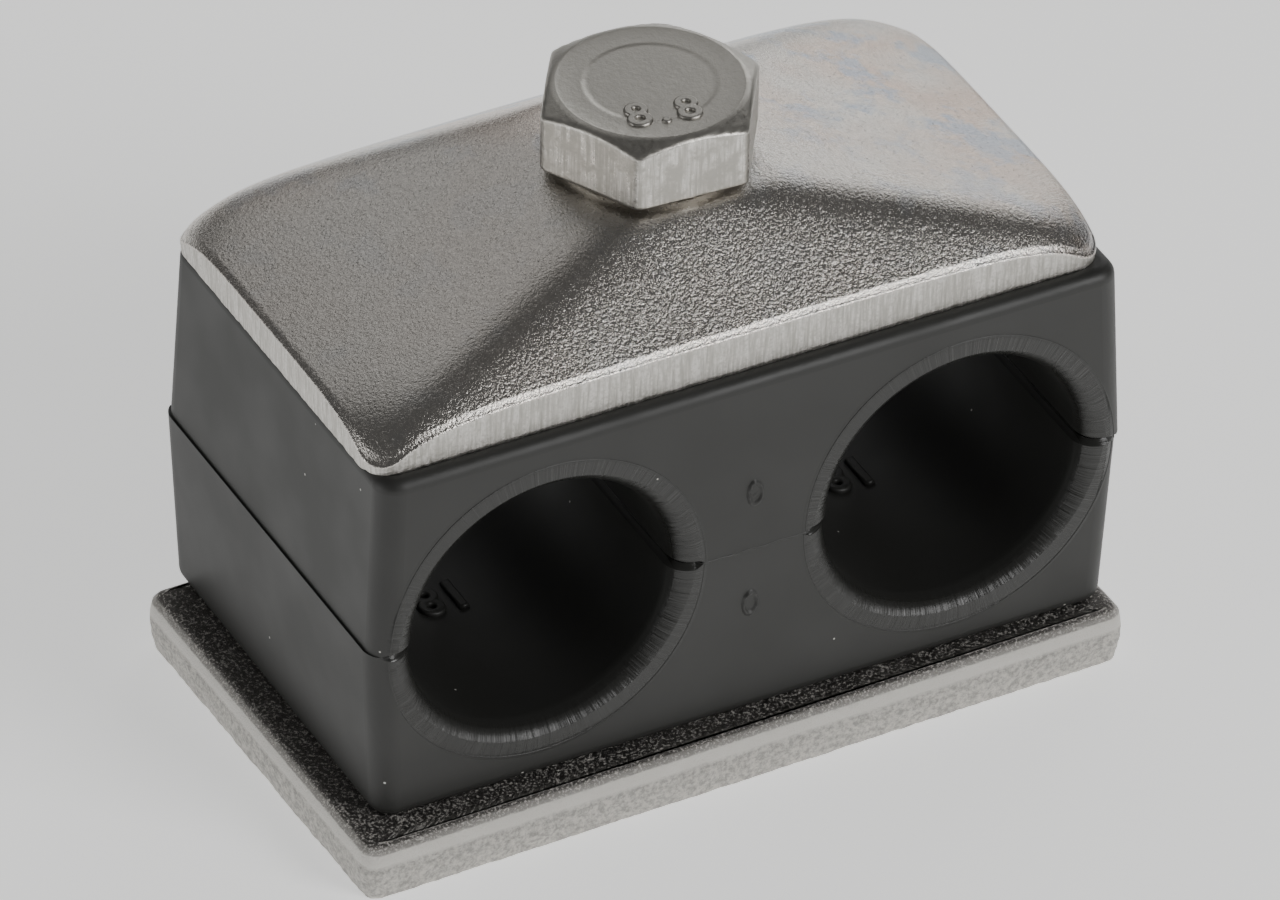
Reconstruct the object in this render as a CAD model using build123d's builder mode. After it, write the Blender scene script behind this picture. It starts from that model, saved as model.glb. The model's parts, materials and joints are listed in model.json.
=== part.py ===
"""Twin hydraulic tube clamp on a weld plate, all lengths in millimetres.

Two identical polypropylene half shells close round two tubes that run along Y.
A steel weld plate carries a threaded collar, a pressed cover plate spreads the load
on top, and one hexagon bolt through the middle pulls the stack together.
The origin is the centre of the weld plate's underside, +Z up, +X along the plate.
"""
from build123d import *
import os

# Driving dimensions
tube_diameter = 18.0
tube_spacing = 29.0
half_height = 13.0
body_length = 52.9
body_width = 30.0
end_draft = 0.6
side_draft = 0.3
body_corner_radius = 1.6
body_edge_radius = 0.9
bore_mouth_radius = 1.7
bore_edge_break = 0.35
bolt_hole_diameter = 9.2
counterbore_diameter = 13.6
counterbore_depth = 7.0

plate_length = 53.9
plate_width = 30.0
plate_thickness = 4.0
plate_corner_radius = 0.5
sheared_edge_radius = 0.35

collar_diameter = 11.0
collar_height = 6.5
collar_spigot_diameter = 9.8
collar_recess = 0.5
collar_bore_diameter = 8.2
collar_countersink = 0.6

sheet_thickness = 3.0
cover_length = 51.4
cover_width = 28.2
cover_corner_radius = 4.0
cover_rise = 5.0
pad_length = 13.6
pad_width = 15.0
pad_corner_radius = 4.5
pad_bend_radius = 1.5
cover_foot_width = 1.3
cover_edge_radius = 0.5
cover_hole_diameter = 9.4

bolt_diameter = 7.9
bolt_length = 35.0
bolt_tip_chamfer = 1.0
head_across_flats = 13.0
hexagon_height = 4.6
washer_face_diameter = 11.8
washer_face_height = 0.5
head_top_diameter = 11.9
head_chamfer_height = 0.75
head_turn = -3.0

# The collar sits off the plate's centre and the plate a little askew,
# and the loose stack settles within the bolt's clearance
plate_turn = 1.0
bolt_centre = (1.00, 1.25)
lower_centre = (0.90, 1.38)
upper_centre = (1.06, 1.30)
cover_centre = (0.55, 1.60)

# Heights of the stack
parting_height = plate_thickness + half_height
body_top = parting_height + half_height
cover_rim_top = body_top + sheet_thickness
seat_height = cover_rim_top + cover_rise
collar_top = plate_thickness + collar_height

os.makedirs("parts", exist_ok=True)


def half_shell(centre, outward):
    """One moulded half shell, open at the parting plane; outward is +1 up or -1 down."""
    outer_face = parting_height + outward * half_height
    with BuildPart() as half:
        # Both faces of the loft are rounded rectangles, so the draft also runs round the corners
        with BuildSketch(Plane.XY.offset(parting_height)):
            with Locations(centre):
                RectangleRounded(body_length, body_width, body_corner_radius)
        with BuildSketch(Plane.XY.offset(outer_face)):
            with Locations(centre):
                RectangleRounded(body_length - 2 * end_draft, body_width - 2 * side_draft, body_corner_radius)
        loft(ruled=True)
        outer_edges = half.faces().sort_by(Axis.Z)[-1 if outward > 0 else 0].edges()
        fillet(outer_edges, body_edge_radius)

        # Each bore is one revolved cut: a straight seat that flares into a bell mouth at both ends
        seat = tube_diameter / 2
        mouth = seat + bore_mouth_radius
        straight = body_width / 2 - bore_mouth_radius
        past_end = body_width / 2 + 1.0
        for side in (-1, 1):
            bore_x = centre[0] + side * tube_spacing / 2
            bore_plane = Plane((bore_x, centre[1], parting_height), x_dir=(1, 0, 0), z_dir=(0, 0, 1))
            with BuildSketch(bore_plane):
                with BuildLine():
                    Line((0, -past_end), (0, past_end))
                    Line((0, past_end), (mouth, past_end))
                    Line((mouth, past_end), (mouth, body_width / 2))
                    RadiusArc((mouth, body_width / 2), (seat, straight), -bore_mouth_radius)
                    Line((seat, straight), (seat, -straight))
                    RadiusArc((seat, -straight), (mouth, -body_width / 2), -bore_mouth_radius)
                    Line((mouth, -body_width / 2), (mouth, -past_end))
                    Line((mouth, -past_end), (0, -past_end))
                make_face()
            bore_axis = Axis((bore_x, centre[1], parting_height), (0, 1, 0))
            revolve(axis=bore_axis, revolution_arc=360, mode=Mode.SUBTRACT)

        # The straight edges where the seats meet the parting plane are broken by the mould
        seat_edges = []
        for edge in half.edges().filter_by(Axis.Y):
            at_parting = abs(edge.center().Z - parting_height) < 0.01
            on_seat = abs(abs(abs(edge.center().X - centre[0]) - tube_spacing / 2) - seat) < 0.01
            if at_parting and on_seat:
                seat_edges.append(edge)
        chamfer(seat_edges, bore_edge_break)

        # Bolt hole through the web, counterbored from the outer face for the collar
        with BuildSketch(Plane.XY.offset(parting_height)):
            with Locations(centre):
                Circle(bolt_hole_diameter / 2)
        extrude(amount=outward * half_height, mode=Mode.SUBTRACT)
        with BuildSketch(Plane.XY.offset(outer_face)):
            with Locations(centre):
                Circle(counterbore_diameter / 2)
        extrude(amount=-outward * counterbore_depth, mode=Mode.SUBTRACT)
    return half


lower_clamp_half = half_shell(lower_centre, -1)
lower_clamp_half.part.label = "lower_clamp_half"
export_step(lower_clamp_half.part, "parts/lower_clamp_half.step")

upper_clamp_half = half_shell(upper_centre, 1)
upper_clamp_half.part.label = "upper_clamp_half"
export_step(upper_clamp_half.part, "parts/upper_clamp_half.step")


# Weld plate: sheared flat bar with a hole that the collar's spigot is pressed into
with BuildPart() as weld_plate:
    with BuildSketch(Plane.XY):
        with Locations(Location((0, 0, 0), (0, 0, plate_turn))):
            RectangleRounded(plate_length, plate_width, plate_corner_radius)
        with Locations(bolt_centre):
            Circle(collar_spigot_diameter / 2, mode=Mode.SUBTRACT)
    extrude(amount=plate_thickness)
    rolled_edge = weld_plate.faces().sort_by(Axis.Z)[-1].outer_wire().edges()
    fillet(rolled_edge, sheared_edge_radius)
weld_plate.part.label = "weld_plate"
export_step(weld_plate.part, "parts/weld_plate.step")


# Threaded collar: turned in one piece, shouldered on the plate, countersunk for the bolt
with BuildPart() as threaded_collar:
    with BuildSketch(Plane((bolt_centre[0], bolt_centre[1], 0), x_dir=(1, 0, 0), z_dir=(0, -1, 0))):
        with BuildLine():
            Polyline(
                (collar_bore_diameter / 2, collar_recess),
                (collar_spigot_diameter / 2, collar_recess),
                (collar_spigot_diameter / 2, plate_thickness),
                (collar_diameter / 2, plate_thickness),
                (collar_diameter / 2, collar_top - collar_countersink),
                (collar_diameter / 2 - collar_countersink, collar_top),
                (collar_bore_diameter / 2 + collar_countersink, collar_top),
                (collar_bore_diameter / 2, collar_top - collar_countersink),
                close=True,
            )
        make_face()
    revolve(axis=Axis((bolt_centre[0], bolt_centre[1], 0), (0, 0, 1)))
threaded_collar.part.label = "threaded_collar"
export_step(threaded_collar.part, "parts/threaded_collar.step")


# Cover plate: sheet blank pressed into a hipped form, hollow below, standing on its rim
with BuildPart() as cover_plate:
    with BuildSketch(Plane.XY.offset(body_top)):
        with Locations(cover_centre):
            RectangleRounded(cover_length, cover_width, cover_corner_radius)
    extrude(amount=sheet_thickness)
    with BuildSketch(Plane.XY.offset(cover_rim_top)):
        with Locations(cover_centre):
            RectangleRounded(cover_length, cover_width, cover_corner_radius)
    with BuildSketch(Plane.XY.offset(seat_height)):
        with Locations(cover_centre):
            RectangleRounded(pad_length, pad_width, pad_corner_radius)
    loft()
    pad_edges = cover_plate.faces().sort_by(Axis.Z)[-1].edges()
    fillet(pad_edges, pad_bend_radius)
    rim_edges = cover_plate.edges().filter_by_position(Axis.Z, cover_rim_top - 0.01, cover_rim_top + 0.01)
    fillet(rim_edges, cover_edge_radius)
    hollow_length = cover_length - 2 * cover_foot_width
    hollow_width = cover_width - 2 * cover_foot_width
    with BuildSketch(Plane.XY.offset(body_top)):
        with Locations(cover_centre):
            RectangleRounded(hollow_length, hollow_width, cover_corner_radius - cover_foot_width)
    with BuildSketch(Plane.XY.offset(body_top + cover_rise)):
        with Locations(cover_centre):
            RectangleRounded(pad_length - 1.0, pad_width - 1.0, pad_corner_radius)
    loft(mode=Mode.SUBTRACT)
    with BuildSketch(Plane.XY.offset(body_top)):
        with Locations(cover_centre):
            Circle(cover_hole_diameter / 2)
    extrude(amount=seat_height - body_top + 1, mode=Mode.SUBTRACT)
cover_plate.part.label = "cover_plate"
export_step(cover_plate.part, "parts/cover_plate.step")


# Hexagon bolt: forged head chamfered round its top, washer face below, chamfered tip
with BuildPart() as hex_bolt:
    with BuildSketch(Plane.XY.offset(seat_height + washer_face_height)):
        with Locations(Location((bolt_centre[0], bolt_centre[1], 0), (0, 0, head_turn))):
            RegularPolygon(head_across_flats / 2, 6, major_radius=False)
    extrude(amount=hexagon_height)
    # The chamfer is what stays inside a cone turned about the bolt's axis
    head_bottom = seat_height + washer_face_height
    head_top = head_bottom + hexagon_height
    corner_radius = head_across_flats / 3**0.5
    chamfer_slope = (corner_radius - head_top_diameter / 2) / head_chamfer_height
    cone_foot = head_top_diameter / 2 + chamfer_slope * hexagon_height
    with BuildSketch(Plane((bolt_centre[0], bolt_centre[1], 0), x_dir=(1, 0, 0), z_dir=(0, -1, 0))):
        Polygon(
            (0, head_bottom),
            (cone_foot, head_bottom),
            (head_top_diameter / 2, head_top),
            (0, head_top),
            align=None,
        )
    revolve(axis=Axis((bolt_centre[0], bolt_centre[1], 0), (0, 0, 1)), mode=Mode.INTERSECT)
    # Washer face, shank and tip are one turned profile
    shank_radius = bolt_diameter / 2
    tip_height = seat_height - bolt_length
    with BuildSketch(Plane((bolt_centre[0], bolt_centre[1], 0), x_dir=(1, 0, 0), z_dir=(0, -1, 0))):
        Polygon(
            (0, tip_height),
            (shank_radius - bolt_tip_chamfer, tip_height),
            (shank_radius, tip_height + bolt_tip_chamfer),
            (shank_radius, seat_height),
            (washer_face_diameter / 2, seat_height),
            (washer_face_diameter / 2, head_bottom),
            (0, head_bottom),
            align=None,
        )
    revolve(axis=Axis((bolt_centre[0], bolt_centre[1], 0), (0, 0, 1)))
hex_bolt.part.label = "hex_bolt"
export_step(hex_bolt.part, "parts/hex_bolt.step")
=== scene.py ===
"""Looks of a twin hydraulic tube clamp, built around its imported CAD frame.

The black half shells keep their CAD form and get moulding marks. The pressed cover plate, the
sheared weld plate and the forged bolt are modelled here, each in its own operator.
"""
import json
import math

import bpy
import numpy as np
from mathutils import Matrix, Vector, noise


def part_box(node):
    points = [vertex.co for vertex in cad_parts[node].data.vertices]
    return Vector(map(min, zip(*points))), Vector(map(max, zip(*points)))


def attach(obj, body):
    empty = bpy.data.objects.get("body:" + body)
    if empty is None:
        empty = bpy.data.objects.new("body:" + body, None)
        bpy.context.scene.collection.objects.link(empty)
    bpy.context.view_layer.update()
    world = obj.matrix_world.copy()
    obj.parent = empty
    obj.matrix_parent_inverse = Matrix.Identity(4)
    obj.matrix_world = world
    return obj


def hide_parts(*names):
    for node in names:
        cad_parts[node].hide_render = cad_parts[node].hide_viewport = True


bl_info = {
    "name": "Twin Tube Clamp",
    "version": (1, 0, 0),
    "blender": (4, 5, 0),
    "location": "View3D > Sidebar > Tube Clamp",
    "description": "Builds the dressed pieces of a twin hydraulic tube clamp around its CAD frame",
    "category": "Object",
}

MM = 0.001

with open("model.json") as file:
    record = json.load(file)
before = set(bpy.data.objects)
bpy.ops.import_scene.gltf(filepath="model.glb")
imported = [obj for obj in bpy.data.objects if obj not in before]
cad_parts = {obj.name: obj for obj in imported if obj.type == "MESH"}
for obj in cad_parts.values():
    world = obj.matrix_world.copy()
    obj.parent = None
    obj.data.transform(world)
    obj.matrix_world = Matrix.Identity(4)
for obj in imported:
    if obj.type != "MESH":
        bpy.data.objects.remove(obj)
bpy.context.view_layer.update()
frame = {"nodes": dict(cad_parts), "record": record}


def node_box(name):
    """Lowest and highest corner of a CAD node, in millimetres."""
    low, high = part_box(name)
    return np.array(low) / MM, np.array(high) / MM


def mount_place(name):
    """A mount's position in millimetres."""
    for mount in frame["record"]["mounts"]:
        if mount["name"] == name:
            return np.array(mount["pos_m"]) / MM
    raise ValueError(f"the frame has no mount called {name}")


plate_high = node_box("weld_plate")[1]
lower_low, lower_high = node_box("lower_clamp_half")
cover_low, cover_high = node_box("cover_plate")
bolt_low, bolt_high = node_box("hex_bolt")
seat_left = mount_place("tube_seat_left")
seat_right = mount_place("tube_seat_right")
bolt_axis = mount_place("bolt_head_drive")
parting_z = lower_high[2]
body_centre = (lower_low + lower_high) / 2
half_height = 13.0
bore_radius = 9.0


# ---------------------------------------------------------------- colours and settings

def linear(hex_colour):
    """sRGB hex colour to the linear colour that shaders use."""
    channels = []
    for start in (1, 3, 5):
        value = int(hex_colour[start:start + 2], 16) / 255
        low_part = value / 12.92
        high_part = ((value + 0.055) / 1.055) ** 2.4
        channels.append(low_part if value <= 0.04045 else high_part)
    return (*channels, 1.0)


def colour_property(name, description, hex_colour):
    return bpy.props.FloatVectorProperty(
        name=name, description=description, default=linear(hex_colour),
        subtype="COLOR", size=4, min=0.0, max=1.0)


def length_property(name, description, millimetres):
    return bpy.props.FloatProperty(
        name=name, description=description, default=millimetres * MM,
        min=0.0, unit="LENGTH", subtype="DISTANCE")


def angle_property(name, description, degrees):
    return bpy.props.FloatProperty(
        name=name, description=description, default=math.radians(degrees), subtype="ANGLE")


class ClampColours(bpy.types.PropertyGroup):
    """Colours of the clamp's finishes."""
    zinc: colour_property("Zinc", "Bright zinc plating on the pressed sheet", "#C9C5BF")
    zinc_tint: colour_property("Zinc tint", "Warm film in the passivated zinc", "#C6B5A8")
    zinc_blue: colour_property("Zinc blue", "Cool film in the passivated zinc", "#A9B3C0")
    edge_zinc: colour_property("Blanked zinc", "Cut edge and rubbed zinc", "#DEDBD6")
    forged: colour_property("Forged zinc", "Dull zinc plating on the bolt", "#B4B1AA")
    mill_steel: colour_property("Mill steel", "Bare rolled bar on top", "#6F6C69")
    sheared_steel: colour_property("Sheared steel", "Torn edge of the bar", "#D2CFC9")
    turned_steel: colour_property("Turned steel", "Collar", "#A8A6A2")
    shell: colour_property("Polypropylene", "Black moulding compound", "#2A2A28")
    dust: colour_property("Dust", "Lint and dust on the mouldings", "#C8C6C0")
    floor: colour_property("Floor", "Pale studio floor", "#F6F6F5")


class ClampSizes(bpy.types.PropertyGroup):
    """Sizes of what is modelled on top of the CAD frame."""
    sheet: length_property("Sheet", "Thickness of the pressed cover sheet", 3.0)
    cover_corner: length_property("Cover corner", "Corner radius of the cover plate", 2.0)
    corner_droop: length_property("Corner droop", "How far the cover's corners sag below its ends", 2.4)
    plate_corner: length_property("Weld plate corner", "Corner radius of the weld plate", 0.9)
    cover_droop: length_property("Cover droop", "How far the rim thins towards the plate's ends", 0.55)
    pad_length: length_property("Pad length", "Flat pad under the bolt head, along X", 12.6)
    pad_width: length_property("Pad width", "Flat pad under the bolt head, along Y", 14.4)
    cover_hole: length_property("Cover hole", "Hole in the cover plate", 9.4)
    plate_turn: angle_property("Plate turn", "How far the weld plate sits askew", 1.0)
    plate_length: length_property("Plate length", "Weld plate along X", 53.9)
    plate_width: length_property("Plate width", "Weld plate along Y", 30.0)
    fracture_bulge: length_property("Fracture bulge", "How far the torn edge stands out", 0.42)
    across_flats: length_property("Across flats", "Hexagon of the bolt head", 13.0)
    head_disc: length_property("Head disc", "Flat top of the bolt head", 11.9)
    head_turn: angle_property("Head turn", "Angle of one corner of the bolt head", -63.0)
    thread_pitch: length_property("Thread pitch", "Pitch of the bolt's thread", 1.25)
    witness_radius: length_property("Witness radius", "Mould insert line round each bore", 11.0)
    digit_height: length_property("Digit height", "Raised size digits in the bores", 2.7)


def colours():
    return bpy.context.scene.clamp_colours


def millimetres(name):
    return getattr(bpy.context.scene.clamp_sizes, name) / MM


# ---------------------------------------------------------------- mesh helpers

def new_piece(name, vertices_mm, faces, material):
    """Smooth mesh object from vertices in millimetres."""
    mesh = bpy.data.meshes.new(name)
    mesh.from_pydata([tuple(v) for v in np.asarray(vertices_mm) * MM], [], faces)
    mesh.validate()
    mesh.polygons.foreach_set("use_smooth", [True] * len(mesh.polygons))
    piece = bpy.data.objects.new(name, mesh)
    bpy.context.scene.collection.objects.link(piece)
    piece.data.materials.append(material)
    mesh.update()
    return piece


def ring_faces(ring_count, ring_size, close_rings):
    """Quads between rings of equal size; close_rings joins the last ring to the first."""
    faces = []
    last = ring_count if close_rings else ring_count - 1
    for i in range(last):
        this_ring = i * ring_size
        next_ring = ((i + 1) % ring_count) * ring_size
        for j in range(ring_size):
            k = (j + 1) % ring_size
            faces.append((this_ring + j, this_ring + k, next_ring + k, next_ring + j))
    return faces


def strip_faces(first, steps, lanes=3):
    """Quads of a strip, lanes side by side, whose points begin at first."""
    row = lanes + 1
    return [(a, a + 1, a + row + 1, a + row)
            for step in range(steps)
            for a in range(first + step * row, first + step * row + lanes)]


def rounded_rectangle(length, width, radius, spacing):
    """Points round a rectangle with rounded corners, anticlockwise, with outward normals."""
    points = []
    normals = []
    corners = ((1, 1, 0), (-1, 1, 90), (-1, -1, 180), (1, -1, 270))
    arc_steps = max(4, int(radius * math.pi / 2 / spacing))
    for index, (side_x, side_y, start) in enumerate(corners):
        centre = np.array((side_x * (length / 2 - radius), side_y * (width / 2 - radius)))
        for step in range(arc_steps + 1):
            angle = math.radians(start + 90 * step / arc_steps)
            normal = np.array((math.cos(angle), math.sin(angle)))
            points.append(centre + radius * normal)
            normals.append(normal)
        straight = (length if index % 2 == 0 else width) - 2 * radius
        along = np.array((-normals[-1][1], normals[-1][0]))
        count = max(2, int(straight / spacing))
        start_point = points[-1]
        for step in range(1, count):
            points.append(start_point + along * straight * step / count)
            normals.append(normals[-1])
    return np.array(points), np.array(normals)


def soft_min(first, second, sharpness):
    """Lower of two values with a rounded change-over."""
    low = np.minimum(first, second)
    high = np.maximum(first, second)
    return low - np.log1p(np.exp(-(high - low) * sharpness)) / sharpness


def wander(points, scale, seed):
    """Smooth noise between -1 and 1 at each point; scale is the size of one bump."""
    return np.array([noise.noise(Vector(p) / scale + Vector((seed, 0.0, 0.0))) for p in points])


# ---------------------------------------------------------------- materials

def add_node(tree, kind, *inputs, output=None, **settings):
    """Adds a node and returns its output of that name, or else its first.

    The inputs fill the node's sockets in order, each with a value or another node's output. The
    settings are the node's own properties, or sockets by name with underscores for spaces.
    """
    node = tree.nodes.new("ShaderNode" + kind)
    named = {}
    for name, value in settings.items():
        if name in node.bl_rna.properties:
            setattr(node, name, value)
        else:
            named[name.replace("_", " ")] = value
    filled = list(zip([socket for socket in node.inputs if socket.enabled], inputs))
    filled += [(node.inputs[name], value) for name, value in named.items()]
    for socket, value in filled:
        if isinstance(value, bpy.types.NodeSocket):
            tree.links.new(value, socket)
        else:
            socket.default_value = value
    if output:
        return node.outputs[output]
    return next(socket for socket in node.outputs if socket.enabled)


def start_material(name, **shader_values):
    """Material with a principled shader; returns it, its tree, the shader and places in millimetres."""
    material = bpy.data.materials.new(name)
    material.use_nodes = True
    tree = material.node_tree
    shader = tree.nodes["Principled BSDF"]
    for key, value in shader_values.items():
        shader.inputs[key.replace("_", " ")].default_value = value
    position = add_node(tree, "TexCoord", output="Object")
    place = add_node(tree, "VectorMath", position, operation="SCALE", Scale=1 / MM)
    return material, tree, shader, place


def grain(tree, place, bump_size, detail=2.0, roughness=0.5, stretch=(1, 1, 1)):
    """Noise whose bumps are bump_size millimetres wide; a stretch below 1 draws them out that way."""
    stretched = add_node(tree, "VectorMath", place, stretch, operation="MULTIPLY")
    return add_node(tree, "TexNoise", stretched, Scale=1 / bump_size, Detail=detail, Roughness=roughness)


def finish_shader(tree, shader, relief, **values):
    """Links values to the shader's inputs of that name, and relief layers to its normal.

    A relief layer is a height, its depth in millimetres and its strength.
    """
    for name, value in values.items():
        tree.links.new(value, shader.inputs[name.replace("_", " ")])
    below = {}
    for height, depth, strength in relief:
        bump = add_node(tree, "Bump", Height=height, Distance=depth * MM, Strength=strength, **below)
        below = {"Normal": bump}
    for name, normal in below.items():
        tree.links.new(normal, shader.inputs[name])


def zinc_plated_sheet():
    """Cold-rolled sheet, pressed and bright zinc plated: satin metal with a rolled grain that
    sparkles, and faint warm and cool films from the passivation."""
    chosen = colours()
    material, tree, shader, place = start_material("zinc_plated_pressed_sheet", Metallic=1.0)
    film = add_node(tree, "MapRange", grain(tree, place, 9.0, detail=3.0), 0.42, 0.60, 0.0, 0.85)
    patches = grain(tree, place, 4.0, detail=4.0, roughness=0.6)
    patches = add_node(tree, "MapRange", patches, 0.52, 0.62, 0.0, 0.75)
    # The films formed where the rinse drained, towards the rear right
    x = add_node(tree, "SeparateXYZ", place, output="X")
    y = x.node.outputs["Y"]
    rear_right = add_node(tree, "Math", y, 1.6, x, operation="MULTIPLY_ADD")
    drained = add_node(tree, "MapRange", rear_right, -4.0, 22.0, 0.12, 1.0)
    warm = add_node(tree, "Math", film, drained, operation="MULTIPLY")
    cool = add_node(tree, "Math", patches, drained, operation="MULTIPLY")
    tinted = add_node(tree, "Mix", warm, chosen.zinc, chosen.zinc_tint, data_type="RGBA")
    colour = add_node(tree, "Mix", cool, tinted, chosen.zinc_blue, data_type="RGBA")
    # Rolled grain in pits about 0.2 mm wide, coarser than the real ones so that they show, with
    # finer plating crystals on top
    pits = grain(tree, place, 0.22, detail=3.0, roughness=0.65)
    crystals = grain(tree, place, 0.09, detail=1.0)
    gloss = add_node(tree, "MapRange", pits, 0.3, 0.7, 0.15, 0.30)
    relief = ((pits, 0.07, 0.9), (crystals, 0.02, 0.3))
    finish_shader(tree, shader, relief, Base_Color=colour, Roughness=gloss)
    return material


def sheared_sheet_edge():
    """Blanked edge of the zinc-plated sheet: light, with fine upright scoring from the die."""
    chosen = colours()
    material, tree, shader, place = start_material("blanked_zinc_edge", Metallic=1.0)
    scoring = grain(tree, place, 0.2, detail=3.0, roughness=0.6, stretch=(1, 1, 0.08))
    pits = grain(tree, place, 0.22, detail=4.0, roughness=0.75)
    scored = add_node(tree, "MapRange", scoring, 0.35, 0.6)
    pitted = add_node(tree, "MapRange", pits, 0.3, 0.55)
    worn = add_node(tree, "Math", scored, pitted, operation="MULTIPLY")
    colour = add_node(tree, "Mix", worn, chosen.forged, chosen.edge_zinc, data_type="RGBA")
    gloss = add_node(tree, "MapRange", pits, 0.3, 0.7, 0.38, 0.6)
    relief = ((scoring, 0.05, 0.8), (pits, 0.06, 0.7))
    finish_shader(tree, shader, relief, Base_Color=colour, Roughness=gloss)
    return material


def forged_bolt_zinc():
    """Cold-headed steel, zinc plated: duller than the sheet, with die rub marks down the flats."""
    chosen = colours()
    material, tree, shader, place = start_material("zinc_plated_cold_forged_steel", Metallic=1.0)
    rubs = grain(tree, place, 0.28, detail=4.0, roughness=0.7, stretch=(1, 1, 0.05))
    skin = grain(tree, place, 0.3, detail=4.0, roughness=0.6)
    # Upright flats were rubbed bright by the die in streaks; the top kept its duller pressed skin
    facing = add_node(tree, "SeparateXYZ", add_node(tree, "NewGeometry", output="Normal"), output="Z")
    level = add_node(tree, "Math", facing, operation="ABSOLUTE")
    upright = add_node(tree, "MapRange", level, 0.5, 0.2)
    patches = grain(tree, place, 1.4, detail=4.0, roughness=0.7)
    lined = add_node(tree, "MapRange", rubs, 0.40, 0.60)
    patchy = add_node(tree, "MapRange", patches, 0.40, 0.55)
    rubbed = add_node(tree, "Math", lined, patchy, operation="MULTIPLY")
    streaks = add_node(tree, "Math", rubbed, upright, operation="MULTIPLY")
    colour = add_node(tree, "Mix", streaks, chosen.forged, chosen.edge_zinc, data_type="RGBA")
    pressed = add_node(tree, "MapRange", skin, 0.3, 0.7, 0.30, 0.50)
    gloss = add_node(tree, "Math", streaks, -0.12, pressed, operation="MULTIPLY_ADD")
    relief = ((streaks, 0.02, 0.5), (skin, 0.04, 0.6))
    finish_shader(tree, shader, relief, Base_Color=colour, Roughness=gloss)
    return material


def hot_rolled_bar():
    """Hot-rolled bar, descaled and oiled: dark satin top with fine pits, and a sheared edge whose
    cut band shines above a torn, paler zone."""
    chosen = colours()
    material, tree, shader, place = start_material("sheared_rolled_bar", Metallic=1.0)
    facing = add_node(tree, "SeparateXYZ", add_node(tree, "NewGeometry", output="Normal"), output="Z")
    upward = add_node(tree, "MapRange", facing, 0.35, 0.8)
    # Scale broke off the top in specks about 0.2 mm wide, which stay bright and matt
    specks = add_node(tree, "MapRange", grain(tree, place, 0.17, detail=3.0, roughness=0.7), 0.54, 0.60)
    top_colour = add_node(tree, "Mix", specks, chosen.mill_steel, chosen.edge_zinc, data_type="RGBA")
    top_specks = add_node(tree, "Math", specks, upward, operation="MULTIPLY")
    pits = grain(tree, place, 0.16, detail=4.0, roughness=0.75)
    torn = grain(tree, place, 0.35, detail=5.0, roughness=0.75)
    scoring = grain(tree, place, 0.15, detail=2.0, stretch=(1, 1, 0.1))
    # The cut band is the top third of the edge and smooth; below it the steel tore
    height = add_node(tree, "SeparateXYZ", place, output="Z")
    tear = add_node(tree, "MapRange", height, 2.7, 2.4)
    chipped = add_node(tree, "MapRange", torn, 0.42, 0.60)
    chips = add_node(tree, "Math", tear, chipped, operation="MULTIPLY")
    edge_colour = add_node(tree, "Mix", chips, chosen.sheared_steel, chosen.turned_steel, data_type="RGBA")
    colour = add_node(tree, "Mix", upward, edge_colour, top_colour, data_type="RGBA")
    rough_edge = add_node(tree, "Math", tear, 0.28, 0.34, operation="MULTIPLY_ADD")
    pitted = add_node(tree, "MapRange", pits, 0.3, 0.7, -0.06, 0.06)
    rough = add_node(tree, "Math", rough_edge, pitted, operation="ADD")
    gloss = add_node(tree, "Math", top_specks, 0.5, rough, operation="MULTIPLY_ADD")
    torn_height = add_node(tree, "Math", torn, tear, operation="MULTIPLY")
    relief = ((pits, 0.13, 1.0), (scoring, 0.03, 0.4), (torn_height, 0.2, 0.7))
    finish_shader(tree, shader, relief, Base_Color=colour, Roughness=gloss)
    return material


def turned_collar_steel():
    """Free-cutting steel as turned: fine tool rings round the axis."""
    chosen = colours()
    material, tree, shader, place = start_material(
        "turned_free_cutting_steel", Metallic=1.0, Base_Color=chosen.turned_steel)
    rings = grain(tree, place, 0.15, detail=1.0, stretch=(0.02, 0.02, 1))
    gloss = add_node(tree, "MapRange", rings, 0.3, 0.7, 0.25, 0.4)
    finish_shader(tree, shader, ((rings, 0.02, 0.5),), Roughness=gloss)
    return material


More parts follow.
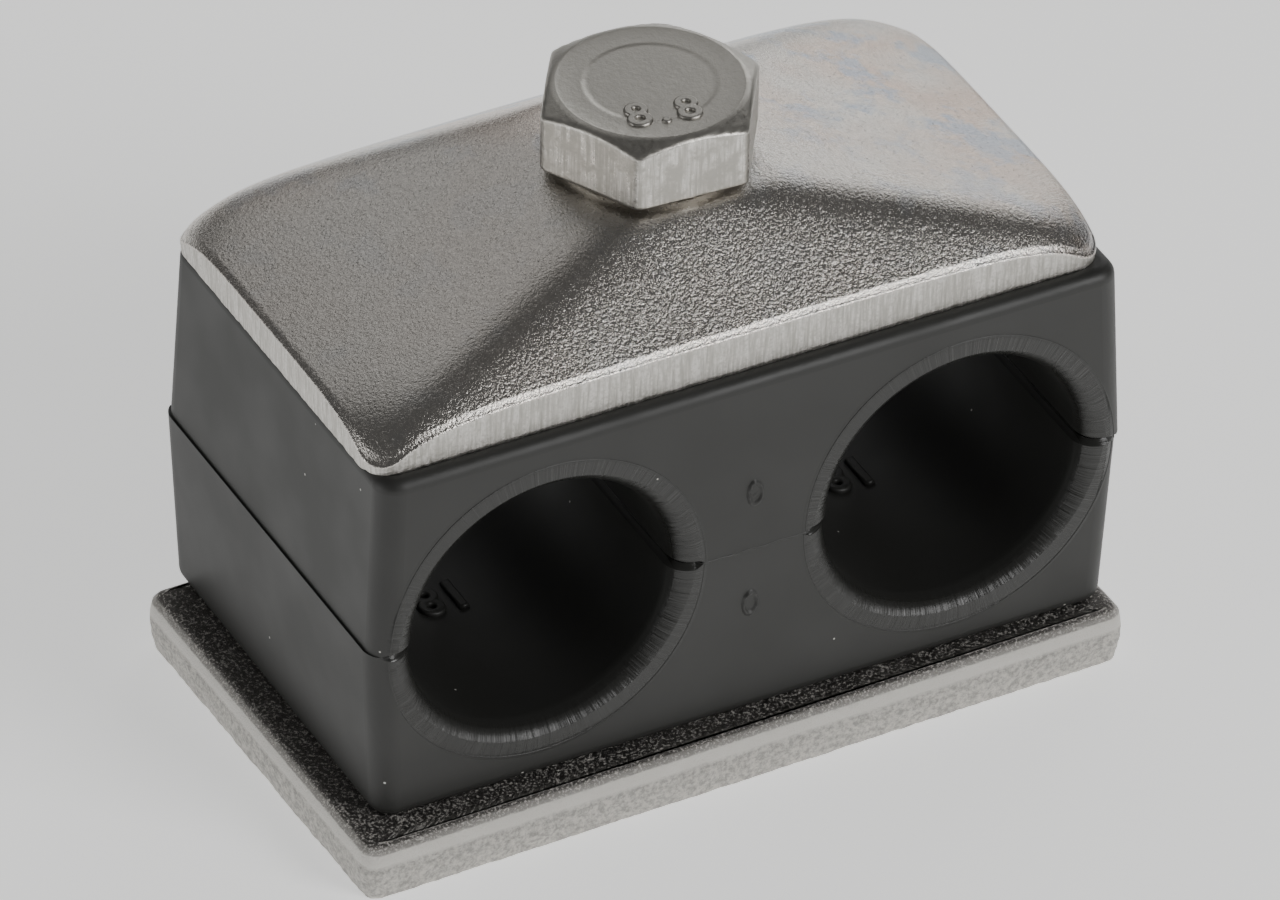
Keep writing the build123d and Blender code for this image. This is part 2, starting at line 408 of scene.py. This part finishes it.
def moulded_polypropylene():
    """Injection-moulded black polypropylene: soft satin skin with a fine spark-eroded grain,
    tool marks round the bore mouths, and lint that the static holds."""
    chosen = colours()
    material, tree, shader, place = start_material(
        "moulded_black_polypropylene", IOR=1.49, Base_Color=chosen.shell)
    skin = grain(tree, place, 0.12)
    waves = grain(tree, place, 6.0)
    cloudy = add_node(tree, "MapRange", waves, 0.35, 0.65, 0.46, 0.54)
    # Lint specks 0.12 to 0.19 mm across, about one to every two square centimetres
    cell_size = 2.4
    nearness = add_node(tree, "TexVoronoi", place, Scale=1 / cell_size)
    speck = add_node(tree, "MapRange", nearness, 0.026, 0.040, 1.0, 0.0)
    cell = add_node(tree, "SeparateXYZ", nearness.node.outputs["Color"])
    half_the_cells = add_node(tree, "MapRange", cell, 0.50, 0.51)
    lint = add_node(tree, "Math", speck, half_the_cells, operation="MULTIPLY")
    colour = add_node(tree, "Mix", lint, chosen.shell, chosen.dust, data_type="RGBA")
    # Tool marks: radial scoring where the mouth curves into the bore
    x = add_node(tree, "SeparateXYZ", place, output="X")
    z = x.node.outputs["Z"]
    marks = 0.0
    mouths = 0.0
    for seat in (seat_left, seat_right):
        across = add_node(tree, "Math", x, float(seat[0]), operation="SUBTRACT")
        above = add_node(tree, "Math", z, float(seat[2]), operation="SUBTRACT")
        angle = add_node(tree, "Math", above, across, operation="ARCTAN2")
        above_squared = add_node(tree, "Math", above, above, operation="MULTIPLY")
        squares = add_node(tree, "Math", across, across, above_squared, operation="MULTIPLY_ADD")
        distance = add_node(tree, "Math", squares, operation="SQRT")
        lines = add_node(
            tree, "TexNoise", angle, noise_dimensions="1D", Scale=22.0, Detail=4.0, Roughness=0.7)
        outside = add_node(tree, "MapRange", distance, 9.05, 9.25)
        inside = add_node(tree, "MapRange", distance, 11.2, 10.8)
        mouth = add_node(tree, "Math", outside, inside, operation="MULTIPLY")
        mouths = add_node(tree, "Math", mouth, mouths, operation="ADD")
        marks = add_node(tree, "Math", lines, mouth, marks, operation="MULTIPLY_ADD")
    # The turned inserts polished the mouths, so those shine more than the grained faces
    gloss = add_node(tree, "Math", mouths, -0.24, cloudy, operation="MULTIPLY_ADD")
    relief = ((skin, 0.012, 0.25), (waves, 0.12, 0.3), (marks, 0.12, 0.8))
    finish_shader(tree, shader, relief, Base_Color=colour, Roughness=gloss)
    return material


def floor_paper():
    """Matt pale paper over a light table, so that edges facing it stay bright."""
    chosen = colours()
    material, tree, shader, place = start_material(
        "pale_paper", Base_Color=chosen.floor, IOR=1.45, Specular_IOR_Level=0.2,
        Emission_Color=chosen.floor, Emission_Strength=0.78)
    gloss = add_node(tree, "MapRange", grain(tree, place, 3.0), 0.3, 0.7, 0.85, 0.95)
    finish_shader(tree, shader, (), Roughness=gloss)
    return material


def dress_node(name, material):
    """Gives a CAD node its finish."""
    node = frame["nodes"][name]
    for slot in node.material_slots:
        slot.material = material


def raised_text(text, spacing=1.0, extrude=0.02, bevel=0.035):
    """Vertices and faces of rounded raised characters, 1 unit high, centred on the origin."""
    curve = bpy.data.curves.new("raised_text", "FONT")
    curve.body = text
    curve.size = 1.0
    curve.space_character = spacing
    curve.extrude = extrude
    curve.bevel_depth = bevel
    curve.bevel_resolution = 1
    curve.resolution_u = 4
    curve.align_x = "CENTER"
    curve.align_y = "CENTER"
    holder = bpy.data.objects.new("raised_text", curve)
    mesh = bpy.data.meshes.new_from_object(holder)
    bpy.data.objects.remove(holder)
    vertices = [tuple(vertex.co) for vertex in mesh.vertices]
    faces = [tuple(face.vertices) for face in mesh.polygons]
    bpy.data.meshes.remove(mesh)
    return vertices, faces


# ---------------------------------------------------------------- operators

class TUBECLAMP_OT_shells(bpy.types.Operator):
    """Finish both half shells and add their moulding marks"""
    bl_idname = "tubeclamp.shells"
    bl_label = "Half Shells"

    def execute(self, context):
        plastic = moulded_polypropylene()
        for name, side, body, slot in (
                ("lower_clamp_half", -1, "base", "lower_plastic"),
                ("upper_clamp_half", 1, "top", "upper_plastic")):
            dress_node(name, plastic)
            low, high = node_box(name)
            centre = (low + high) / 2
            marks = [self.witness_lines(name, side, centre, high, plastic),
                     self.gate_stub(name, side, centre, high, plastic)]
            if side > 0:
                marks.append(self.parting_flash(name, centre, high, plastic))
            else:
                marks.extend(self.size_digits(name, centre, plastic))
            for mark in marks:
                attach(mark, body)
        return {"FINISHED"}

    @staticmethod
    def face_depth(side, centre, high, z):
        """How far the drafted side face stands from the shell's middle at a height."""
        half_width = high[1] - centre[1]
        draft = 0.3
        return half_width - draft * abs(z - parting_z) / half_height

    def witness_lines(self, name, side, centre, high, material):
        """Hair-thin ridge where the bore inserts met the mould, on the front and back faces."""
        radius = millimetres("witness_radius")
        ridge_width = 0.10
        ridge_height = 0.035
        steps = 72
        # The seats lie midway between the slipped halves, so the upper lines are set back to their
        # bores; the lower lines stay 0.08 mm to the right of theirs
        set_back = 0.08 if side > 0 else 0.0
        vertices = []
        faces = []
        for seat in (seat_left, seat_right):
            bore_x = seat[0] + centre[0] - body_centre[0] - set_back
            for front in (-1, 1):
                first = len(vertices)
                for step in range(steps + 1):
                    angle = math.pi * (0.004 + 0.992 * step / steps) * side
                    for offset, lift in ((-0.5, -0.05), (-0.2, 1), (0.2, 1), (0.5, -0.05)):
                        r = radius + offset * ridge_width
                        x = bore_x + r * math.cos(angle)
                        z = parting_z + r * math.sin(angle)
                        depth = self.face_depth(side, centre, high, z) + lift * ridge_height
                        vertices.append((x, centre[1] + front * depth, z))
                faces.extend(strip_faces(first, steps))
        return new_piece(f"{name}_insert_lines", vertices, faces, material)

    def gate_stub(self, name, side, centre, high, material):
        """Torn-off injection gate on the front face, a rough oval crater."""
        middle_x = centre[0] - 0.1
        middle_z = parting_z + side * 4.3
        half_across, half_up = 0.62, 1.05
        wall_height = 0.16
        rings, size = 14, 36
        vertices = []
        for ring in range(rings):
            t = ring / (rings - 1)
            for step in range(size):
                angle = 2 * math.pi * step / size
                x = middle_x + half_across * t * math.cos(angle)
                z = middle_z + half_up * t * math.sin(angle)
                wall = math.exp(-((t - 0.78) / 0.16) ** 2)
                rough = noise.noise(Vector((x * 3.1, z * 3.1, side * 5.0)))
                lift = wall_height * wall * (1 + 0.9 * rough) + 0.10 * rough * (1 - t) - 0.03 * t
                depth = self.face_depth(side, centre, high, z) + lift
                vertices.append((x, centre[1] - depth, z))
        return new_piece(f"{name}_gate_stub", vertices, ring_faces(rings, size, False), material)

    def size_digits(self, name, centre, material):
        """Raised tube size at the bottom of each bore, read from behind."""
        pieces = []
        capital_height = 0.7
        scale = millimetres("digit_height") / capital_height
        middle_y = 0.9
        outlines, faces = raised_text("18")
        for label, seat in (("left", seat_left), ("right", seat_right)):
            bore_x = seat[0] + centre[0] - body_centre[0]
            vertices = []
            for across, upward, lift in outlines:
                angle = -math.pi / 2 - across * scale / bore_radius
                radius = bore_radius - 0.1 - lift * scale
                vertices.append((bore_x + radius * math.cos(angle), middle_y - upward * scale,
                                 parting_z + radius * math.sin(angle)))
            pieces.append(new_piece(f"{name}_size_digits_{label}", vertices, faces, material))
        return pieces

    def parting_flash(self, name, centre, high, material):
        """Thin torn flash where the halves meet on the front and back faces."""
        vertices = []
        faces = []
        mouth = millimetres("witness_radius") - 0.2
        reach = 25.3
        point_spacing = 0.15
        ends = (centre[0] - reach, seat_left[0] - mouth, seat_left[0] + mouth,
                seat_right[0] - mouth, seat_right[0] + mouth, centre[0] + reach)
        for start, end in zip(ends[0::2], ends[1::2]):
            steps = max(2, int(abs(end - start) / point_spacing))
            for front in (-1, 1):
                first = len(vertices)
                for step in range(steps + 1):
                    x = start + (end - start) * step / steps
                    torn = noise.noise(Vector((x * 1.7, front * 9.0, 0.0)))
                    lift = 0.05 + 0.05 * torn
                    z = parting_z + 0.02 + 0.06 * noise.noise(Vector((x * 0.9, 4.0, front)))
                    for drop, share in ((-0.09, -0.6), (-0.02, 1.0), (0.03, 1.0), (0.10, -0.6)):
                        depth = self.face_depth(1, centre, high, z) + share * lift
                        vertices.append((x, centre[1] + front * depth, z + drop))
                faces.extend(strip_faces(first, steps))
        return new_piece(f"{name}_parting_flash", vertices, faces, material)


class TUBECLAMP_OT_cover_plate(bpy.types.Operator):
    """Model the pressed cover plate with its soft hips and blanked edge"""
    bl_idname = "tubeclamp.cover_plate"
    bl_label = "Cover Plate"

    def surface(self, x, y, half_length, half_width, rim_z, pad_z):
        """Height of the pressed top face: a pad with four facets that run down to the rim."""
        pad_x = millimetres("pad_length") / 2
        pad_y = millimetres("pad_width") / 2
        towards_end = np.clip(np.abs(x) / half_length, 0, 1)
        towards_side = np.clip(np.abs(y) / half_width, 0, 1)
        droop = millimetres("cover_droop") * towards_end ** 3
        droop = droop + millimetres("corner_droop") * towards_end ** 10 * towards_side ** 5
        rise = pad_z - rim_z
        end_facet = rim_z + rise * (half_length - np.abs(x)) / (half_length - pad_x)
        side_facet = rim_z + rise * (half_width - np.abs(y)) / (half_width - pad_y)
        hips = soft_min(end_facet, side_facet, 1.6)
        top = soft_min(hips, np.full_like(hips, pad_z), 7.0)
        return top - droop * np.clip((pad_z - hips) / rise, 0, 1)

    def execute(self, context):
        length = cover_high[0] - cover_low[0]
        width = cover_high[1] - cover_low[1]
        centre = (cover_low + cover_high) / 2
        foot_z = cover_low[2]
        pad_z = cover_high[2]
        rim_z = foot_z + millimetres("sheet")
        corner = millimetres("cover_corner")
        outline, normals = rounded_rectangle(length, width, corner, 0.22)
        angles = np.arctan2(outline[:, 1], outline[:, 0])
        hole = millimetres("cover_hole") / 2 * np.column_stack((np.cos(angles), np.sin(angles)))
        edge_round = 0.3
        edge_drop = 0.22
        inner_rim = outline - normals * edge_round
        rings = []

        def lifts(xy):
            return self.surface(xy[:, 0], xy[:, 1], length / 2, width / 2, rim_z, pad_z)

        # Top face from the hole to the rim
        steps = 84
        for step in range(steps + 1):
            xy = hole + (inner_rim - hole) * step / steps
            rings.append(np.column_stack((xy, lifts(xy))))
        top_ring_count = len(rings)
        # Rolled top edge
        top = lifts(outline)
        for quarter in (0.25, 0.5, 0.75, 1.0):
            turn = quarter * math.pi / 2
            xy = inner_rim + normals * edge_round * math.sin(turn)
            rings.append(np.column_stack((xy, top - edge_drop * (1 - math.cos(turn)))))
        # Blanked edge, torn a little ragged along its foot
        edge_rows = 10
        places = np.column_stack((outline, np.zeros(len(outline))))
        ragged = 0.10 * wander(places, 0.7, 3.0) + 0.07 * wander(places, 0.25, 9.0)
        for row in range(1, edge_rows + 1):
            t = row / edge_rows
            z = (top - edge_drop) * (1 - t) + (foot_z + np.clip(ragged, 0, 1)) * t
            push = -0.10 * t + 0.05 * wander(places + np.array((0, 0, 3.0 * t)), 0.5, 5.0) * t
            rings.append(np.column_stack((outline + normals * np.minimum(push, 0)[:, None], z)))
        # Foot, then the hollow underside back to the hole
        under_steps = 24
        for step in range(under_steps + 1):
            t = step / under_steps
            xy = inner_rim * (1 - t) + hole * t
            under = np.maximum(lifts(xy) - millimetres("sheet") - 0.25, foot_z)
            rings.append(np.column_stack((xy, under)))
        vertices = np.concatenate(rings)
        vertices[:, 0] += centre[0]
        vertices[:, 1] += centre[1]
        vertices[:, 2] = np.minimum(vertices[:, 2], pad_z)
        size = len(outline)
        faces = ring_faces(len(rings), size, True)
        piece = new_piece("cover_sheet", vertices, faces, zinc_plated_sheet())
        piece.data.materials.append(sheared_sheet_edge())
        first_edge_face = (top_ring_count + 3) * size
        last_edge_face = (top_ring_count + 4 + edge_rows) * size
        for face in piece.data.polygons[first_edge_face:last_edge_face]:
            face.material_index = 1
        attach(piece, "top")
        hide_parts("cover_plate")
        return {"FINISHED"}


class TUBECLAMP_OT_weld_plate(bpy.types.Operator):
    """Model the weld plate with its sheared and torn edges"""
    bl_idname = "tubeclamp.weld_plate"
    bl_label = "Weld Plate"

    def execute(self, context):
        length = millimetres("plate_length")
        width = millimetres("plate_width")
        top_z = plate_high[2]
        outline, normals = rounded_rectangle(length, width, millimetres("plate_corner"), 0.2)
        turn = context.scene.clamp_sizes.plate_turn
        spin = np.array(((math.cos(turn), math.sin(turn)), (-math.sin(turn), math.cos(turn))))
        outline = outline @ spin
        normals = normals @ spin
        angles = np.arctan2(outline[:, 1], outline[:, 0])
        hole_radius = 4.9
        hole = np.column_stack((np.cos(angles), np.sin(angles))) * hole_radius + bolt_axis[:2]
        places = np.column_stack((outline, np.zeros(len(outline))))
        bulge = millimetres("fracture_bulge")
        band = 1.25 + 0.25 * wander(places, 5.0, 2.0) + 0.12 * wander(places, 0.9, 4.0)
        rings = []
        for t in (0.0, 0.5, 0.9, 0.97):
            xy = hole + (outline - hole) * t
            rings.append(np.column_stack((xy, np.full(len(xy), top_z))))
        # Edge rolled in by the shear, wider than it is deep
        roll = 0.55
        roll_drop = 0.6 * roll
        for quarter in (0.0, 0.33, 0.66, 1.0):
            bend = quarter * math.pi / 2
            xy = outline - normals * roll * (1 - math.sin(bend))
            z = top_z - roll_drop * (1 - math.cos(bend))
            rings.append(np.column_stack((xy, np.full(len(xy), z))))
        rows = 26
        for row in range(1, rows + 1):
            t = row / rows
            z = (top_z - roll_drop) * (1 - t)
            depth = top_z - z
            torn = np.clip((depth - band) / 0.7, 0, 1)
            swell = math.sin(math.pi * (1 - z / top_z) ** 0.8)
            rough = wander(places + np.array((0, 0, depth)), 0.55, 1.0)
            coarse = wander(places + np.array((0, 0, depth)), 2.2, 6.0)
            push = bulge * 0.8 * swell + torn * (0.05 * rough + 0.05 * coarse) + 0.02 * rough
            rings.append(np.column_stack((outline + normals * push[:, None], np.full(len(outline), z))))
        for t in (0.02, 0.5, 1.0):
            xy = outline + (hole - outline) * t
            rings.append(np.column_stack((xy, np.zeros(len(xy)))))
        vertices = np.concatenate(rings)
        piece = new_piece("sheared_weld_plate", vertices, ring_faces(len(rings), len(outline), True),
                          hot_rolled_bar())
        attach(piece, "base")
        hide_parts("weld_plate")
        dress_node("threaded_collar", turned_collar_steel())
        return {"FINISHED"}


class TUBECLAMP_OT_bolt(bpy.types.Operator):
    """Model the hexagon bolt with its forged head, thread and strength digits"""
    bl_idname = "tubeclamp.bolt"
    bl_label = "Hexagon Bolt"

    def execute(self, context):
        steel = forged_bolt_zinc()
        bolt = self.bolt_body(context, steel)
        digits = self.strength_digits(steel)
        for piece in (bolt, digits):
            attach(piece, "bolt")
        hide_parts("hex_bolt")
        return {"FINISHED"}

    def bolt_body(self, context, steel):
        """Rings round the axis from the tip to the head, with the thread cut in."""
        size = 360
        angle = np.linspace(0, 2 * math.pi, size, endpoint=False)
        turn = context.scene.clamp_sizes.head_turn
        flats = millimetres("across_flats") / 2
        disc = millimetres("head_disc") / 2
        seat_z = cover_high[2]
        washer_height = 0.5
        head_z = seat_z + washer_height
        top_z = bolt_high[2]
        tip_z = bolt_low[2]
        shank = 3.95
        sharp = flats / np.cos((angle - turn) % (math.pi / 3) - math.pi / 6)
        corner = flats / math.cos(math.pi / 6)
        worn_corner = corner - 0.12
        hexagon = soft_min(sharp, np.full(size, worn_corner), 22.0)
        chamfer_height = 0.75
        slope = (corner - disc) / chamfer_height
        rings = []

        def add_ring(radius, z):
            r = np.broadcast_to(radius, (size,))
            rings.append(np.column_stack((r * np.cos(angle), r * np.sin(angle), np.full(size, z))))

        add_ring(0.01, tip_z)
        add_ring(shank - 1.0, tip_z)
        pitch = millimetres("thread_pitch")
        plain_shank = 13.0
        thread_end = seat_z - plain_shank
        depth = 0.55
        rows = int((thread_end - tip_z) / (pitch / 8))
        for row in range(1, rows + 1):
            z = tip_z + (thread_end - tip_z) * row / rows
            phase = (z / pitch - angle / (2 * math.pi)) % 1.0
            groove = np.clip(np.abs(phase - 0.5) * 2.4 - 0.15, 0, 1)
            run_in = min(1.0, (z - tip_z) / 1.0)
            run_out = min(1.0, (thread_end - z) / 1.5)
            crest = shank - 1.0 * (1 - run_in)
            add_ring(np.minimum(shank - depth * groove * run_out, crest), z)
        add_ring(shank, thread_end + 0.2)
        add_ring(shank, seat_z - 0.01)
        washer = 5.9
        add_ring(washer - 0.15, seat_z)
        add_ring(washer, seat_z + 0.12)
        add_ring(washer, head_z - 0.02)
        add_ring(np.minimum(hexagon, flats) - 0.1, head_z)
        add_ring(hexagon - 0.10, head_z + 0.02)
        add_ring(hexagon, head_z + 0.16)
        side_rows = 30
        for row in range(1, side_rows + 1):
            z = head_z + 0.16 + (top_z - head_z - 0.16) * row / side_rows
            cone = disc + slope * (top_z - z)
            add_ring(soft_min(hexagon, np.full(size, cone), 24.0), z)
        # Top disc: a small crisp lip, then the faint ring that the header die left
        lip, die_ring = 0.02, 0.045
        for share, sink in ((0.99, 0.0), (0.97, lip), (0.74, lip), (0.70, lip), (0.69, die_ring),
                            (0.65, die_ring), (0.5, die_ring), (0.25, die_ring), (0.01, die_ring)):
            add_ring(disc * share, top_z - 0.01 - sink)
        vertices = np.concatenate(rings)
        vertices[:, 2] = np.minimum(vertices[:, 2], top_z)
        vertices[:, 0] += bolt_axis[0]
        vertices[:, 1] += bolt_axis[1]
        return new_piece("forged_hex_bolt", vertices, ring_faces(len(rings), size, False), steel)

    def strength_digits(self, steel):
        """Raised strength class near the front of the head."""
        outlines, faces = raised_text("8.8", spacing=1.25)
        scale = 3.3
        tilt = math.radians(-12.4)
        middle_x, middle_y = -0.80, -3.26
        vertices = []
        for across, upward, lift in outlines:
            x = (across * math.cos(tilt) - upward * math.sin(tilt)) * scale + middle_x
            y = (across * math.sin(tilt) + upward * math.cos(tilt)) * scale + middle_y
            z = bolt_high[2] - 0.07 + lift * scale
            vertices.append((bolt_axis[0] + x, bolt_axis[1] + y, z))
        return new_piece("bolt_strength_digits", vertices, faces, steel)


class TUBECLAMP_OT_studio(bpy.types.Operator):
    """Set up the pale floor, soft lights and camera"""
    bl_idname = "tubeclamp.studio"
    bl_label = "Studio"

    def execute(self, context):
        floor_half = 1500.0
        corners = [(-floor_half, -floor_half, 0), (floor_half, -floor_half, 0),
                   (floor_half, floor_half, 0), (-floor_half, floor_half, 0)]
        floor = new_piece("floor", np.array(corners) - np.array((0, 0, 0.02)), [(0, 1, 2, 3)], floor_paper())
        world = bpy.data.worlds.new("studio")
        context.scene.world = world
        world.use_nodes = True
        background = world.node_tree.nodes["Background"]
        background.inputs["Color"].default_value = linear("#FFFFFF")
        background.inputs["Strength"].default_value = 0.10
        # The front panel stands just outside the mirror angle of the cover's front, so grains flash
        self.add_light("front_panel", (420, -750, 500), (0.45, 0.45), 5.2)
        self.add_light("rear_right_panel", (800, 800, 480), (0.6, 0.5), 2.0)
        self.add_light("rear_top_panel", (100, 900, 900), (0.7, 0.7), 1.0)
        self.add_light("left_panel", (-980, 110, 200), (0.5, 0.4), 1.8)
        self.add_camera(context)
        return {"FINISHED"}

    @staticmethod
    def add_light(name, place, size, watts):
        """Soft panel aimed at the clamp; its place is in millimetres and its size in metres."""
        light = bpy.data.lights.new(name, "AREA")
        light.shape = "RECTANGLE"
        light.size, light.size_y = size
        light.energy = watts
        lamp = bpy.data.objects.new(name, light)
        lamp.location = Vector(place) * MM
        towards = (Vector((0, 0, 20)) - Vector(place)).normalized()
        lamp.rotation_euler = towards.to_track_quat("-Z", "Y").to_euler()
        bpy.context.scene.collection.objects.link(lamp)

    @staticmethod
    def add_camera(context):
        """Long lens at a fixed place, rolled about a degree."""
        azimuth = math.radians(-28.32)
        elevation = math.radians(36.73)
        roll = math.radians(1.11)
        distance = 867.0
        aim = Vector((0.84, 1.38, 14.63))
        back = Vector((math.sin(azimuth) * math.cos(elevation), -math.cos(azimuth) * math.cos(elevation),
                       math.sin(elevation)))
        level = (-back).cross(Vector((0, 0, 1))).normalized()
        upright = level.cross(-back)
        right = level * math.cos(roll) + upright * math.sin(roll)
        up = upright * math.cos(roll) - level * math.sin(roll)
        lens = bpy.data.cameras.new("camera")
        lens.lens = 386.4
        lens.sensor_width = 36.0
        lens.clip_start = 0.01
        lens.clip_end = 20.0
        camera = bpy.data.objects.new("camera", lens)
        turn = Matrix((right, up, back)).transposed().to_4x4()
        camera.matrix_world = Matrix.Translation((aim + back * distance) * MM) @ turn
        context.scene.collection.objects.link(camera)
        context.scene.camera = camera


class TUBECLAMP_PT_panel(bpy.types.Panel):
    """Lists the clamp's pieces"""
    bl_label = "Tube Clamp"
    bl_idname = "TUBECLAMP_PT_panel"
    bl_space_type = "VIEW_3D"
    bl_region_type = "UI"
    bl_category = "Tube Clamp"

    def draw(self, context):
        for operator in OPERATORS:
            self.layout.operator(operator.bl_idname)


OPERATORS = (
    TUBECLAMP_OT_shells,
    TUBECLAMP_OT_cover_plate,
    TUBECLAMP_OT_weld_plate,
    TUBECLAMP_OT_bolt,
    TUBECLAMP_OT_studio,
)
CLASSES = (ClampColours, ClampSizes, *OPERATORS, TUBECLAMP_PT_panel)


def register():
    for cls in CLASSES:
        bpy.utils.register_class(cls)
    bpy.types.Scene.clamp_colours = bpy.props.PointerProperty(type=ClampColours)
    bpy.types.Scene.clamp_sizes = bpy.props.PointerProperty(type=ClampSizes)


def unregister():
    del bpy.types.Scene.clamp_sizes
    del bpy.types.Scene.clamp_colours
    for cls in reversed(CLASSES):
        bpy.utils.unregister_class(cls)


def main():
    register()
    bpy.ops.tubeclamp.shells()
    bpy.ops.tubeclamp.cover_plate()
    bpy.ops.tubeclamp.weld_plate()
    bpy.ops.tubeclamp.bolt()
    bpy.ops.tubeclamp.studio()


if __name__ == "__main__":
    main()
